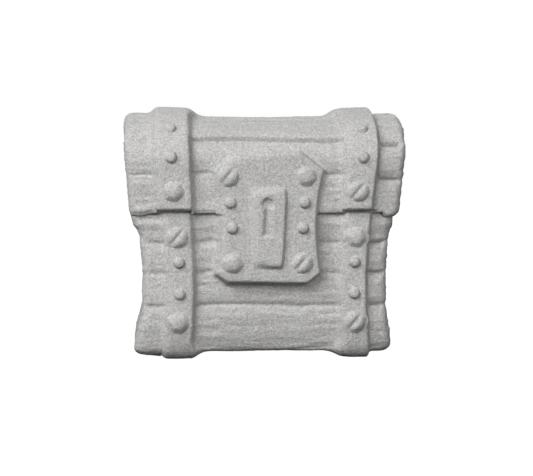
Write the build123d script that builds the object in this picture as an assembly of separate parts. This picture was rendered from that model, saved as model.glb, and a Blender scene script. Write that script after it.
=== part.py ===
from build123d import *
import math
import os

# Treasure-chest air stone: a closed chest of porous sintered grit for an aquarium.
# Air enters the hollow inside through a nipple low in the back and leaves through the walls.
# Millimetres. +Z is up and the front faces -Y. The chest stands on the feet of its tub bands.
# The origin is at floor level, in the middle of the whole object's box.

# Overall sizes
lid_width = 63.5            # left to right, at the top of the lid
lid_depth = 38.0            # front to back over the lid planks
rim_height = 32.4           # floor to the rim of the tub
lid_height = 22.5           # lip to crest of the lid planks

# Tub
end_overhang = 1.6          # lip of the lid beyond the rim of the tub, at each end
waist_in = 1.3              # how far each end pulls in half way up
tub_wall = 5.5
tub_floor = 4.5
lid_overhang = 1.3          # lid planks ahead of tub planks
tuck_height = 10.0          # above this the front and back of the tub are upright
tuck_in = 1.5               # how far they have curved in at the underside
tub_corner_radius = 2.5     # bottom corners, seen from the front
tub_grooves = (12.2, 19.5, 26.3)

# Lid, with heights above its lip
end_rake = 1.15             # how far each end has leant in at the lip
shoulder_rise = 15.2        # the ends of the lid lean out up to here
spring_rise = 11.2          # the vault begins here
groove_rises = (9.2, 16.8)
lid_wall = 5.5
lid_corner_radius = 2.0     # top corners, seen from the front
crown_groove_offset = 6.0   # grooves either side of the ridge plank

# Planks
groove_width = 0.8
groove_depth = 0.6
end_lean = 15.0             # degrees that the plank ends fall back beyond the bands
upright_edge_radius = 2.5   # rounding of the four upright edges
cavity_corner_radius = 4.0

# Bond line between tub and lid
bond_thickness = 0.4
bond_inset = 1.2            # from the tub's outer edge to the bond

# Bands, placed by the distance from the end of the body to the middle of the band
lid_band_thickness = 1.7
lid_band_width = 8.6
lid_band_inset = 10.45
tub_band_thickness = 1.4
tub_band_width = 6.9
tub_band_inset = 8.7
band_chamfer = 0.9

# Lock plate, as heights above the rim of the tub and half widths
lock_proud = 1.6            # ahead of the lid planks
lock_chamfer = 1.0
lock_top_rise = 14.3
lock_top_half_width = 7.4
lock_shoulder_rise = 10.1
lock_shoulder_half_width = 13.0
lock_waist_half_width = 11.3
lock_hip_rise = -13.1
lock_hip_half_width = 12.3
lock_bottom_rise = -15.6
lock_bottom_half_width = 9.0

# Key plate and keyhole, with heights above the rim of the tub
key_plate_thickness = 0.9
key_plate_top_rise = 5.9
key_plate_top_half_width = 4.5
key_plate_bottom_rise = -12.0
key_plate_bottom_half_width = 3.7
key_plate_corner_radius = 0.9
keyhole_rise = 2.5
keyhole_radius = 1.25
keyhole_neck_half_width = 0.6
keyhole_foot_half_width = 1.45
keyhole_foot_rise = -5.2
keyhole_chamfer = 0.3

# Fastener heads
rivet_radius = 1.25
rivet_height = 0.8
head_radius = 2.05
head_height = 1.2
head_chamfer = 0.35
slot_width = 0.7
slot_depth = 0.6
slot_angle = 50.0           # degrees from level
lid_rivet_angles = (5.74, 36.32)    # degrees up the vault from its spring line
lid_head_rise = 4.9         # above the lip
tub_high_head_drop = 4.9    # below the rim
tub_low_head_height = 8.6   # above the floor
tub_rivet_shares = (0.339, 0.709)   # of the way from the low head to the high one
lock_rivet_places = ((8.2, 2.8), (7.8, -2.8))   # half width, and height above the rim
lock_high_head_place = (8.6, 8.6)
lock_low_head_place = (7.7, -10.6)

# Air nipple, for soft airline
nipple_radius = 2.4
nipple_length = 9.0         # free stem behind the flange
nipple_bore_radius = 1.1
nipple_tip_chamfer = 0.4
flange_ledge = 0.8          # flange beyond the stem
flange_thickness = 1.2
nipple_reach_in = 1.5       # past the inside of the wall
sleeve_thickness = 0.3      # adhesive between the nipple and its hole

# Worked out from the above
lip_height = rim_height + bond_thickness
crest_height = lip_height + lid_height
chest_height = crest_height + lid_band_thickness
base_height = tub_band_thickness
waist_height = (base_height + rim_height) / 2
shoulder_height = lip_height + shoulder_rise
spring_height = lip_height + spring_rise
vault_rise = crest_height - spring_height
lid_grooves = [lip_height + rise for rise in groove_rises]
lid_lip_width = lid_width - 2 * end_rake
tub_rim_width = lid_lip_width - 2 * end_overhang
tub_waist_width = tub_rim_width - 2 * waist_in
waist_ratio = tub_waist_width / tub_rim_width
lip_ratio = lid_lip_width / lid_width
lid_band_centre = lid_width / 2 - lid_band_inset
tub_band_centre = tub_rim_width / 2 - tub_band_inset
lid_half_depth = lid_depth / 2
tub_half_depth = lid_half_depth - lid_overhang
lid_cavity_width = lid_lip_width - 2 * lid_wall
lid_cavity_depth = lid_depth - 2 * lid_wall
tub_cavity_width = tub_waist_width - 2 * tub_wall
tub_cavity_depth = 2 * (tub_half_depth - tub_wall)
lock_face = lid_half_depth + lock_proud
lock_shoulder_height = rim_height + lock_shoulder_rise
lock_hip_height = rim_height + lock_hip_rise
nipple_height = (tub_grooves[0] + tub_grooves[1]) / 2
flange_radius = nipple_radius + flange_ledge
front_reach = lock_face + max(head_height, key_plate_thickness, rivet_height)
rear_reach = tub_half_depth + flange_thickness + nipple_length
middle_y = (front_reach - rear_reach) / 2
FRONT = -1
BACK = 1


def prism_along_y(outline, depth):
    """Solid with this front-view outline, reaching depth either side of the middle."""
    return extrude(outline, amount=depth, both=True)


def prism_along_x(outline, width):
    """Solid with this side-view outline, reaching width either side of the middle."""
    return extrude(outline, amount=width, both=True)


def tub_front_view(grow):
    """The waisted front outline of the tub, grown outwards except at the rim."""
    rim = tub_rim_width / 2 + grow
    waist = tub_waist_width / 2 + grow
    low = base_height - grow
    edges = Polyline((-rim, rim_height), (rim, rim_height))
    edges += ThreePointArc((rim, rim_height), (waist, waist_height), (rim, low))
    edges += Line((rim, low), (-rim, low))
    edges += ThreePointArc((-rim, low), (-waist, waist_height), (-rim, rim_height))
    face = Plane.XZ * make_face(edges)
    low_corners = face.vertices().group_by(Axis.Z)[0]
    return fillet(low_corners, tub_corner_radius)


def tub_side_view(grow):
    """Side outline of the tub: upright, then curving in towards the underside."""
    half = tub_half_depth + grow
    low = base_height - grow
    bend = (tuck_height + low) / 2
    foot = half - tuck_in
    edges = Polyline((-half, tuck_height), (-half, rim_height), (half, rim_height), (half, tuck_height))
    edges += ThreePointArc((half, tuck_height), (half - tuck_in / 4, bend), (foot, low))
    edges += Line((foot, low), (-foot, low))
    edges += ThreePointArc((-foot, low), (tuck_in / 4 - half, bend), (-half, tuck_height))
    return Plane.YZ * make_face(edges)


def lid_front_view(grow):
    """Front outline of the lid: ends leaning out to the shoulder, rounded top corners."""
    lip = lid_lip_width / 2 + grow
    half = lid_width / 2 + grow
    top = crest_height + grow
    edges = Polyline(
        (-lip, lip_height), (lip, lip_height), (half, shoulder_height),
        (half, top), (-half, top), (-half, shoulder_height), close=True,
    )
    face = Plane.XZ * make_face(edges)
    return fillet(face.vertices().group_by(Axis.Z)[-1], lid_corner_radius)


def lid_side_view(grow):
    """Side outline of the lid: upright to the spring line, then half an ellipse."""
    half = lid_half_depth + grow
    rise = vault_rise + grow
    edges = Polyline((-half, spring_height), (-half, lip_height), (half, lip_height), (half, spring_height))
    edges += EllipticalCenterArc((0, spring_height), half, rise, start_angle=0, arc_size=180)
    return Plane.YZ * make_face(edges)


def plan_view(width, depth, flat):
    """Plan outline: flat between the bands, ends falling back, rounded upright edges."""
    fall = (width / 2 - flat) * math.tan(math.radians(end_lean))
    side = depth / 2 - fall
    edges = Polyline(
        (-width / 2, -side), (-flat, -depth / 2), (flat, -depth / 2), (width / 2, -side),
        (width / 2, side), (flat, depth / 2), (-flat, depth / 2), (-width / 2, side), close=True,
    )
    face = make_face(edges)
    ends = [v for v in face.vertices() if abs(v.X) > flat + groove_width]
    return fillet(ends, upright_edge_radius)


def tub_body(grow):
    """The tub as a plain solid, grown outwards from its plank faces."""
    flat = tub_band_centre + tub_band_width / 2
    plan = plan_view(tub_rim_width + 2 * grow, 2 * (tub_half_depth + grow), flat)
    solid = prism_along_y(tub_front_view(grow), lid_depth)
    solid &= prism_along_x(tub_side_view(grow), lid_width)
    return solid & extrude(plan, amount=chest_height)


def lid_body(grow):
    """The lid as a plain solid, grown outwards from its plank faces."""
    flat = lid_band_centre + lid_band_width / 2
    plan = plan_view(lid_width + 2 * grow, lid_depth + 2 * grow, flat)
    solid = prism_along_y(lid_front_view(grow), lid_depth)
    solid &= prism_along_x(lid_side_view(grow), lid_width)
    return solid & extrude(plan, amount=chest_height + grow)


def level_groove(core, height):
    """Groove between two planks, all round a body whose groove bottom is core."""
    slab = Pos(0, 0, height) * Box(2 * lid_width, 2 * lid_depth, groove_width)
    return slab - core


def crown_groove(core, y):
    """Groove along the top of the lid, as far as its rounded corners."""
    run = lid_width - 2 * lid_corner_radius
    slab = Box(run, groove_width, chest_height, align=(Align.CENTER, Align.CENTER, Align.MIN))
    return Pos(0, y, lid_grooves[-1] + groove_width) * slab - core


def nipple_place(y):
    """Axis of the nipple at y, pointing out of the back."""
    return Location(Plane(origin=(0, y, nipple_height), x_dir=(1, 0, 0), z_dir=(0, 1, 0)))


def rod(radius, start, end):
    """Cylinder on the nipple's axis, from y = start to y = end."""
    base = (Align.CENTER, Align.CENTER, Align.MIN)
    return nipple_place(start) * Cylinder(radius, end - start, align=base)


def make_tub():
    """Planked tub, hollow and open at the rim, with the hole for the nipple."""
    solid = tub_body(0)
    core = tub_body(-groove_depth)
    for height in tub_grooves:
        solid -= level_groove(core, height)
    opening = RectangleRounded(tub_cavity_width, tub_cavity_depth, cavity_corner_radius)
    bottom = base_height + tub_floor
    solid -= Pos(0, 0, bottom) * extrude(opening, amount=rim_height - bottom)
    return solid - rod(nipple_radius + sleeve_thickness, 0, tub_half_depth)


def make_lid():
    """Planked vault, hollow and open at the lip."""
    solid = lid_body(0)
    core = lid_body(-groove_depth)
    for height in lid_grooves:
        solid -= level_groove(core, height)
    for y in (-crown_groove_offset, crown_groove_offset):
        solid -= crown_groove(core, y)
    hollow = prism_along_x(lid_side_view(-lid_wall), lid_cavity_width / 2)
    return solid - hollow


def make_seam_bond():
    """Thin ring of adhesive between the rim of the tub and the lip of the lid."""
    width = tub_rim_width - 2 * bond_inset
    depth = 2 * (tub_half_depth - bond_inset)
    ring = RectangleRounded(width, depth, cavity_corner_radius)
    inner_width = max(tub_cavity_width, lid_cavity_width)
    inner_depth = max(tub_cavity_depth, lid_cavity_depth)
    ring -= RectangleRounded(inner_width, inner_depth, cavity_corner_radius)
    return Pos(0, 0, rim_height) * extrude(ring, amount=bond_thickness)


def soften(band, core, thickness):
    """Chamfer the long outer edges of a band that lies on core."""
    outer = [
        edge for edge in band.edges()
        if abs(edge.tangent_at(0.5).X) < 0.5
        and min(core.distance_to(Vertex(edge @ place)) for place in (0.1, 0.5, 0.9)) > 0.9 * thickness
    ]
    return chamfer(outer, band_chamfer)


def make_tub_band(side):
    """Band round the front, underside and back of the tub."""
    centre = side * tub_band_centre
    half = tub_band_width / 2
    low = base_height - tub_band_thickness
    edges = Line((centre - half, rim_height), (centre + half, rim_height))
    edges += ThreePointArc(
        (centre + half, rim_height), (centre * waist_ratio + half, waist_height), (centre + half, low))
    edges += Line((centre + half, low), (centre - half, low))
    edges += ThreePointArc(
        (centre - half, low), (centre * waist_ratio - half, waist_height), (centre - half, rim_height))
    strip = prism_along_y(Plane.XZ * make_face(edges), lid_depth)
    core = prism_along_x(tub_side_view(0), lid_width)
    band = (strip & prism_along_x(tub_side_view(tub_band_thickness), lid_width)) - core
    return soften(band, core, tub_band_thickness)


def make_lid_band(side):
    """Band round the front, top and back of the lid."""
    centre = side * lid_band_centre
    half = lid_band_width / 2
    top = chest_height + lid_band_thickness
    edges = Polyline(
        (centre * lip_ratio - half, lip_height), (centre * lip_ratio + half, lip_height),
        (centre + half, shoulder_height), (centre + half, top),
        (centre - half, top), (centre - half, shoulder_height), close=True,
    )
    strip = prism_along_y(Plane.XZ * make_face(edges), lid_depth)
    core = prism_along_x(lid_side_view(0), lid_width)
    band = (strip & prism_along_x(lid_side_view(lid_band_thickness), lid_width)) - core
    return soften(band, core, lid_band_thickness)


def front_plane():
    """Front view plane on the face of the lock plate, its origin level with the rim."""
    return Plane(origin=(0, -lock_face, rim_height), x_dir=(1, 0, 0), z_dir=(0, -1, 0))


def make_lock_plate():
    """Plate over the lid line, its back stepped to seat on both the lid and the tub."""
    waist = (lock_shoulder_rise + lock_hip_rise) / 2
    top, bottom = lock_top_rise, lock_bottom_rise
    sides = Line((-lock_top_half_width, top), (lock_top_half_width, top))
    sides += Line((-lock_bottom_half_width, bottom), (lock_bottom_half_width, bottom))
    for side in (-1, 1):
        shoulder = (side * lock_shoulder_half_width, lock_shoulder_rise)
        hip = (side * lock_hip_half_width, lock_hip_rise)
        sides += Line((side * lock_top_half_width, top), shoulder)
        sides += ThreePointArc(shoulder, (side * lock_waist_half_width, waist), hip)
        sides += Line(hip, (side * lock_bottom_half_width, bottom))
    plate = extrude(front_plane() * make_face(sides), amount=tub_half_depth - lock_face)
    plate = chamfer(plate.faces().sort_by(Axis.Y)[0].edges(), lock_chamfer)
    return plate - lid_body(0)


def keyhole():
    """Round eye over a slot that widens downwards."""
    slot = make_face(Polyline(
        (-keyhole_neck_half_width, keyhole_rise), (keyhole_neck_half_width, keyhole_rise),
        (keyhole_foot_half_width, keyhole_foot_rise), (-keyhole_foot_half_width, keyhole_foot_rise),
        close=True,
    ))
    return slot + Pos(0, keyhole_rise) * Circle(keyhole_radius)


def make_key_plate():
    """Tapered plate on the lock plate, pierced by the keyhole."""
    top, bottom = key_plate_top_rise, key_plate_bottom_rise
    face = make_face(Polyline(
        (-key_plate_top_half_width, top), (key_plate_top_half_width, top),
        (key_plate_bottom_half_width, bottom), (-key_plate_bottom_half_width, bottom),
        close=True,
    ))
    face = fillet(face.vertices(), key_plate_corner_radius) - keyhole()
    plate = extrude(front_plane() * face, amount=key_plate_thickness)
    return chamfer(plate.faces().sort_by(Axis.Y)[0].edges(), keyhole_chamfer)


def rivet():
    """Low domed head with a plain foot below its seat."""
    ball = (rivet_radius ** 2 + rivet_height ** 2) / (2 * rivet_height)
    return Pos(0, 0, rivet_height - ball) * Sphere(ball) & Cylinder(rivet_radius, 2 * rivet_height)


def hex_head():
    """Six-sided head, its top edges broken."""
    head = Pos(0, 0, -head_height) * extrude(RegularPolygon(head_radius, 6), amount=2 * head_height)
    return chamfer(head.faces().sort_by(Axis.Z)[-1].edges(), head_chamfer)


def slotted_head():
    """Round head with one straight slot."""
    head = Cylinder(head_radius, 2 * head_height)
    head = chamfer(head.faces().sort_by(Axis.Z)[-1].edges(), head_chamfer)
    slot = Box(3 * head_radius, slot_width, 2 * slot_depth)
    return head - Pos(0, 0, head_height) * Rot(0, 0, slot_angle) * slot


def seat(x, y, z, normal_y, normal_z, face):
    """Frame on the front (face = -1) or back (face = 1), its Z pointing out of the surface."""
    return Location(Plane(origin=(x, face * y, z), x_dir=(-face, 0, 0), z_dir=(0, face * normal_y, normal_z)))


def lid_band_seat(side, height, face):
    """Frame on the outside of a lid band at this height."""
    half = lid_half_depth + lid_band_thickness
    rise = vault_rise + lid_band_thickness
    lean = min(1, (height - lip_height) / (shoulder_height - lip_height))
    x = side * lid_band_centre * (lip_ratio + (1 - lip_ratio) * lean)
    up = max(0, height - spring_height)
    y = half * math.sqrt(1 - (up / rise) ** 2)
    return seat(x, y, height, y / half ** 2, up / rise ** 2, face)


def tub_band_seat(side, height, face):
    """Frame on the outside of a tub band at this height."""
    away = (height - waist_height) / (rim_height - waist_height)
    x = side * tub_band_centre * (waist_ratio + (1 - waist_ratio) * away ** 2)
    half = tub_half_depth + tub_band_thickness
    fall = 0
    if height < tuck_height:
        fall = tuck_in * ((tuck_height - height) / tuck_height) ** 2
    slope = 2 * fall / max(tuck_height - height, 1)
    return seat(x, half - fall, height, 1, -slope, face)


def vault_height(angle):
    """Height of the lid bands' outside at this angle up the vault."""
    return spring_height + (vault_rise + lid_band_thickness) * math.sin(math.radians(angle))


def lock_seat(x, rise):
    """Frame on the face of the lock plate, at this height above the rim."""
    return seat(x, lock_face, rim_height + rise, 1, 0, FRONT)


def seated(heads, host):
    """Heads cut to sit on the host's surface, as one group of separate solids."""
    return Compound([solid for head in heads for solid in (head - host).solids()])


def lid_band_heads(bands):
    """Rivets, bolts and screws of the lid bands, front and back."""
    heights = [vault_height(angle) for angle in lid_rivet_angles]
    head = lip_height + lid_head_rise
    rivets = [(side, height, face) for side in (-1, 1) for face in (FRONT, BACK) for height in heights]
    return {
        "lid_band_rivets": seated([lid_band_seat(*place) * rivet() for place in rivets], bands),
        "lid_band_bolts": seated([lid_band_seat(f, head, f) * hex_head() for f in (FRONT, BACK)], bands),
        "lid_band_screws": seated([lid_band_seat(-f, head, f) * slotted_head() for f in (FRONT, BACK)], bands),
    }


def tub_band_heads(bands):
    """Rivets, bolts and screws of the tub bands, front and back."""
    low = tub_low_head_height
    high = rim_height - tub_high_head_drop
    heights = [low + (high - low) * share for share in tub_rivet_shares]
    rivets = [(side, height, face) for side in (-1, 1) for face in (FRONT, BACK) for height in heights]
    bolts = [(-face * way, height, face) for face in (FRONT, BACK) for way, height in ((1, high), (-1, low))]
    screws = [(-side, height, face) for side, height, face in bolts]
    return {
        "tub_band_rivets": seated([tub_band_seat(*place) * rivet() for place in rivets], bands),
        "tub_band_bolts": seated([tub_band_seat(*place) * hex_head() for place in bolts], bands),
        "tub_band_screws": seated([tub_band_seat(*place) * slotted_head() for place in screws], bands),
    }


def lock_heads(plate):
    """Rivets, bolts and screws of the lock plate."""
    high_x, high = lock_high_head_place
    low_x, low = lock_low_head_place
    rivets = [(side * x, rise) for side in (-1, 1) for x, rise in lock_rivet_places]
    bolts = [(high_x, high), (-low_x, low)]
    screws = [(-high_x, high), (low_x, low)]
    return {
        "lock_rivets": seated([lock_seat(*place) * rivet() for place in rivets], plate),
        "lock_bolts": seated([lock_seat(*place) * hex_head() for place in bolts], plate),
        "lock_screws": seated([lock_seat(*place) * slotted_head() for place in screws], plate),
    }


def nipple_pieces():
    """Flanged air nipple through the back of the tub, and the adhesive round its stem."""
    inner_end = tub_half_depth - tub_wall
    flange_end = tub_half_depth + flange_thickness
    tip = flange_end + nipple_length
    nipple = rod(nipple_radius, inner_end - nipple_reach_in, tip)
    nipple = chamfer(nipple.edges().sort_by(Axis.Y)[-1], nipple_tip_chamfer)
    nipple += rod(flange_radius, tub_half_depth, flange_end)
    sleeve = rod(nipple_radius + sleeve_thickness, inner_end, tub_half_depth)
    return {
        "air_nipple": nipple - rod(nipple_bore_radius, 0, tip),
        "nipple_sleeve": sleeve - rod(nipple_radius, inner_end, tub_half_depth),
    }


def build():
    """Every piece by name, about the middle of the chest."""
    parts = {"tub": make_tub(), "lid": make_lid(), "seam_bond": make_seam_bond()}
    for name, side in (("left", -1), ("right", 1)):
        parts["tub_band_" + name] = make_tub_band(side)
        parts["lid_band_" + name] = make_lid_band(side)
    parts["lock_plate"] = make_lock_plate()
    parts["key_plate"] = make_key_plate()
    parts.update(lid_band_heads(parts["lid_band_left"] + parts["lid_band_right"]))
    parts.update(tub_band_heads(parts["tub_band_left"] + parts["tub_band_right"]))
    parts.update(lock_heads(parts["lock_plate"]))
    parts.update(nipple_pieces())
    return parts


os.makedirs("parts", exist_ok=True)
for node, shape in build().items():
    export_step(Pos(0, middle_y, 0) * shape, "parts/" + node + ".step")
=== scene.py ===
import math

import bpy
import numpy as np
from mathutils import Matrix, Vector


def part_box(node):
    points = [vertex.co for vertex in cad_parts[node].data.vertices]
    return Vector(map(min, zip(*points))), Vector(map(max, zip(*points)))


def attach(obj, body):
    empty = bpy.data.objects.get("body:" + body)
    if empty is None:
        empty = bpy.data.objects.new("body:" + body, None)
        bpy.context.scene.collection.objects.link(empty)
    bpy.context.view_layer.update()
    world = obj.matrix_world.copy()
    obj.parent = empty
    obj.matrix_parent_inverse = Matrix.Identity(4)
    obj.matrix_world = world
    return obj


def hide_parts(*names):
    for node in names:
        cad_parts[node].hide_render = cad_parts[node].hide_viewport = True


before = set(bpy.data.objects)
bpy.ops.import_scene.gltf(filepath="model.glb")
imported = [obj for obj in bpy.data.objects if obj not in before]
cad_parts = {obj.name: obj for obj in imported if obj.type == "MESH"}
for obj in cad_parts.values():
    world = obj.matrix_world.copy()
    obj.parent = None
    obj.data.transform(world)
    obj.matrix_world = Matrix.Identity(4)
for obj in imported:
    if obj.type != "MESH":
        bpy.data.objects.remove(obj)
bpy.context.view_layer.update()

# The chest's own sizes, in millimetres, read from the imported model. Shapes are worked out
# about the middle of the chest, with the front at the negative side of Y, and put in place at
# the end. Where a value has two numbers for left and right, the left one comes first.
MM = 0.001
LID_LOW, LID_HIGH = (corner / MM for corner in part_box("lid"))
TUB_LOW, TUB_HIGH = (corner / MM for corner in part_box("tub"))
BAND_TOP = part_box("lid_band_left")[1].z / MM
BAND_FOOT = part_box("tub_band_left")[0].z / MM
LOCK_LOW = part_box("lock_plate")[0] / MM
MIDDLE_Y = (LID_LOW.y + LID_HIGH.y) / 2

LIP = LID_LOW.z
CREST = LID_HIGH.z
LID_HALF = LID_HIGH.x
LID_DEPTH = (LID_HIGH.y - LID_LOW.y) / 2
RIM = TUB_HIGH.z
BASE = TUB_LOW.z
TUB_HALF = TUB_HIGH.x
TUB_DEPTH = (TUB_HIGH.y - TUB_LOW.y) / 2
LID_BAND = BAND_TOP - CREST
TUB_BAND = BASE - BAND_FOOT
LOCK_WORN = 0.5             # the worn face of the lock plate lies this much lower
LOCK_FACE = MIDDLE_Y - LOCK_LOW.y - LOCK_WORN
FRONT, BACK = -1, 1

# Form of the tub and the lid
WAIST_RATIO = 0.955         # half way up the tub, against its rim
TUCK_HEIGHT = 10.0          # below this the front and back of the tub curve in
TUCK_IN = 1.5
LIP_RATIO = 0.964           # width of the lid at its lip, against its top
SHOULDER = 48.0             # the ends of the lid lean out up to here
SPRING = 44.0               # the vault begins here
CROWN_SAG = 0.5             # the ridge dips this much in the middle
CROWN_RISE = 0.2            # and rises this much at the ends
LID_EDGE = 1.9              # rounding of the lid's edges at its ends
LIP_ROUND = 0.9             # rounding of the lip's lower edges, front and back
LEAN_TOP = 53.0             # from here down to the lip the lid's ends lean in further than its
LID_END_LEAN = 0.95         # bands do, by this much at the lip
LIP_TURN = (1.3, 1.8)       # the lip turns in by the first of these over a height of the second
END_SHARE = (-0.25, 1.0)    # the left end takes a quarter of both, and the right end the whole
LIP_DROOP = (0.45, 0.85)    # the lip hangs this much lower at the lid's ends
LID_FLAT = 25.8             # the front of the lid is flat out to here
TUB_FLAT = 23.8             # the front of the tub is flat out to here
TUB_EDGE = (2.3, 1.5)       # rounding of the floor's edges: at the ends, and front and back
TUB_CORNERS = (2.2, 6.0)    # rounding of its upright edges: at the ends, and where the flat stops
TUB_END_MOVE = (0.05, -0.62)  # the tub's ends stand this far along X from its rim's width,
TUB_FOOT_MOVE = (-0.90, 0.35)  # and this much further towards the floor
LEFT_LOW = 0.4              # the left end of the tub hangs this much lower at the floor
RIM_FLARE, RIM_FLARE_FROM = 1.2, 27.6  # the left end's rim flares out by this, above this height
RIM_SWELL, RIM_SWELL_AT = 0.3, 30.4  # the top plank swells by this, about this height
TUB_GROOVES = (12.2, 19.5, 26.3)
LID_GROOVES = (41.4, 49.3)
CROWN_GROOVE = 6.0          # from the ridge to the groove on each side of it
END_GROOVES = (-0.35, 0.75)  # the grooves are shallower beyond the left band, deeper at the right
FACE_GROOVES = 15.5         # grooves cross the end faces this far out from their middle
LEDGE = 0.85                # the plank over the lid's upper groove overhangs the next by this
MIDDLE_DIP = 0.30           # the planks between the bands stand this much further back,
MIDDLE_HALF = 17.5          # out to here
END_FALL = 5.0              # degrees: the planks fall back this much beyond the bands
GRAIN_START = 0.6           # the lid's grain is measured from this far before its lip

# Bands
LID_BAND_CENTRE = 21.3
LID_BAND_HALF = 4.3
TUB_BAND_CENTRE = 20.3
TUB_BAND_HALF = 3.45
CRISP, SOFT = 0.15, 0.38    # softness of a flank that faces right, and one that faces left
WORN = 0.21                 # softness of the flank towards the lock on the left bands
FLANK_INSET = 0.45          # middle of a flank, in from the edge of the band
WORN_INSET = 0.0            # the same on the worn flank
FLARE = 0.50                # added softness of the inner flanks over the crown and at the feet,
FLARE_REACH = 1.5           # where they also spread by this
FOOT_FLARE = 3.5            # the feet flare from this height over the tub's floor
CROWN_FLARE = (1.8, 1.6)    # the crown's flare begins this far under the ridge, and takes this
TUCK_UNDER = 0.6            # how far a covered surface drops out of sight
BAND_SEAM = 0.5             # the bands part this far above the lip
BAND_REACH = 0.12           # a band's section goes on this far past the band's edge
RIGHT_WORN = (0.25, 0.75)   # the right lid band is narrower on its outer side by the first of
                            # these, and by the second as well towards the lip

# Lock plate: heights, and half widths at those heights
LOCK_TOP, LOCK_TOP_HALF = 46.7, 7.4
LOCK_SHOULDER, LOCK_SHOULDER_HALF = 42.5, 13.0
LOCK_WAIST_HALF = 11.3
LOCK_HIP, LOCK_HIP_HALF = 19.3, 12.3
LOCK_BOTTOM, LOCK_BOTTOM_HALF = 16.8, 9.0
KEY_TOP, KEY_TOP_HALF = 38.9, 4.6
KEY_BOTTOM, KEY_BOTTOM_HALF = 20.4, 3.7
KEY_PROUD = 1.05
KEYHOLE_DEPTH = 0.75
KEYHOLE_HEIGHT, KEYHOLE_RADIUS = 34.9, 1.22
KEYHOLE_FOOT, KEYHOLE_FOOT_HALF = 27.8, 1.05
KEYHOLE_NECK_HALF = 0.6

# Fastener heads: radius and height, then where they stand
RIVET = (1.42, 0.95)
HEAD = (2.3, 0.98)
HEAD_FOOT = 1.28            # a head's soft foot ends at this many radii,
FOOT_SINK = 0.28            # this far below its seat,
HEAD_ROOT = 0.9             # and the head is closed this far below it
SLOT_ANGLE = 50             # degrees from level
HEX_ANGLE = 12              # degrees that the six sides are turned
LID_RIVETS = (45.3, 51.7)
LID_HEAD = 37.7
LID_SCREW_IN = 0.7          # the lid's slotted heads stand this much nearer the lock
TUB_RIVETS = (15.0, 22.0)
TUB_HIGH_HEAD, TUB_LOW_HEAD = 27.5, 8.6
LOCK_RIVETS = ((8.2, 35.2), (7.8, 29.6))
LOCK_HIGH_HEAD = (8.6, 41.0)
LOCK_LOW_HEAD = (7.7, 21.8)

LATTICE_SIZE = 48
LATTICE = np.random.default_rng(11).random((LATTICE_SIZE, LATTICE_SIZE, LATTICE_SIZE))


# ---------------------------------------------------------------- numbers on a surface

def noise(x, y, z):
    """Value noise from -1 to 1: random values on a cubic lattice, eased between its corners."""
    point = np.stack(np.broadcast_arrays(x, y, z)).astype(float)
    cell = np.floor(point).astype(int)
    ease = point - cell
    ease = ease * ease * (3 - 2 * ease)
    total = 0.0
    for corner in np.ndindex(2, 2, 2):
        weight = 1.0
        for axis in range(3):
            weight = weight * (ease[axis] if corner[axis] else 1 - ease[axis])
        at = tuple((cell[axis] + corner[axis]) % LATTICE_SIZE for axis in range(3))
        total = total + weight * LATTICE[at]
    return 2 * total - 1


def smooth(x):
    """0 below 0, 1 above 1, eased between."""
    x = np.clip(x, 0, 1)
    return x * x * (3 - 2 * x)


def bell(x):
    """1 at 0, falling away both sides as exp(-x squared)."""
    return np.exp(-x * x)


def rise(x):
    """Logistic step from 0 to 1, half way at 0."""
    return 1 / (1 + np.exp(-np.clip(x, -40, 40)))


def least(values, softness):
    """Smallest of several arrays, its corners rounded by softness."""
    total = sum(np.exp(-np.clip(v, -60, 60) / softness) for v in values)
    return -softness * np.log(np.maximum(total, 1e-300))


def left_right(x, values):
    """The first value left of the middle, the second one right of it."""
    return np.where(x > 0, values[1], values[0])


def wood(along, across, seed):
    """Carved grain: noise stretched along the plank, its lines bent by slower noise."""
    bent = across + 0.9 * noise(along / 11, across / 6, seed)
    bent = bent + 0.25 * noise(along / 3.5, across / 2, seed + 5)
    lines = noise(along / 9.0, bent / 0.85, seed + 0.37)
    fine = noise(along / 4.0, bent / 0.45, seed + 7.7)
    return 0.15 * lines + 0.07 * fine


def grit(p):
    """Lumps of the moulded grit: two sizes of noise in space."""
    x, y, z = p[..., 0], p[..., 1], p[..., 2]
    return 0.035 * noise(x / 0.55, y / 0.55, z / 0.55) + 0.03 * noise(x / 1.6 + 9, y / 1.6, z / 1.6)


def plank(distance, share=1.0, width=0.5):
    """Groove between planks: a narrow trough in a wide shallow one, by distance from its middle."""
    return -share * (0.42 * bell(distance / width) + 0.24 * bell(distance / (width + 1.2)))


def end_gain(straight, y, flat, half):
    """Depth of the grooves along a body: faint beyond the left band, deep beyond the right one,
    and worn away round the upright edges of the end faces."""
    beyond = smooth((np.abs(straight) - flat + 1) / 2)
    gain = 1 + beyond * left_right(straight, END_GROOVES)
    worn = gain * (1 - 0.9 * smooth((np.abs(straight) - half + 2.6) / 2.2))
    face = smooth((FACE_GROOVES - np.abs(y)) / 4) * smooth((np.abs(straight) - half + 1.5) / 1.2)
    return worn + (1 - worn) * face


# ---------------------------------------------------------------- relief shared by the pieces

def middle_dip(straight):
    """How far the planks stand back: fully between the bands, not at all beyond their flanks."""
    return MIDDLE_DIP * smooth((MIDDLE_HALF - np.abs(straight)) / 1.5)


def tub_narrowing(z):
    """Width of the tub at a height, against its rim: a parabola with its least half way up."""
    middle = (BASE + RIM) / 2
    return WAIST_RATIO + (1 - WAIST_RATIO) * ((z - middle) / (RIM - middle)) ** 2


def lid_narrowing(z):
    """Width of the lid at a height, against its top: a straight lean up to the shoulder."""
    return LIP_RATIO + (1 - LIP_RATIO) * np.clip((z - LIP) / (SHOULDER - LIP), 0, 1)


def band_outside(x, centre, half):
    """Distance outside the nearer band, negative on it."""
    return np.abs(np.abs(x) - centre) - half


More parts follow.
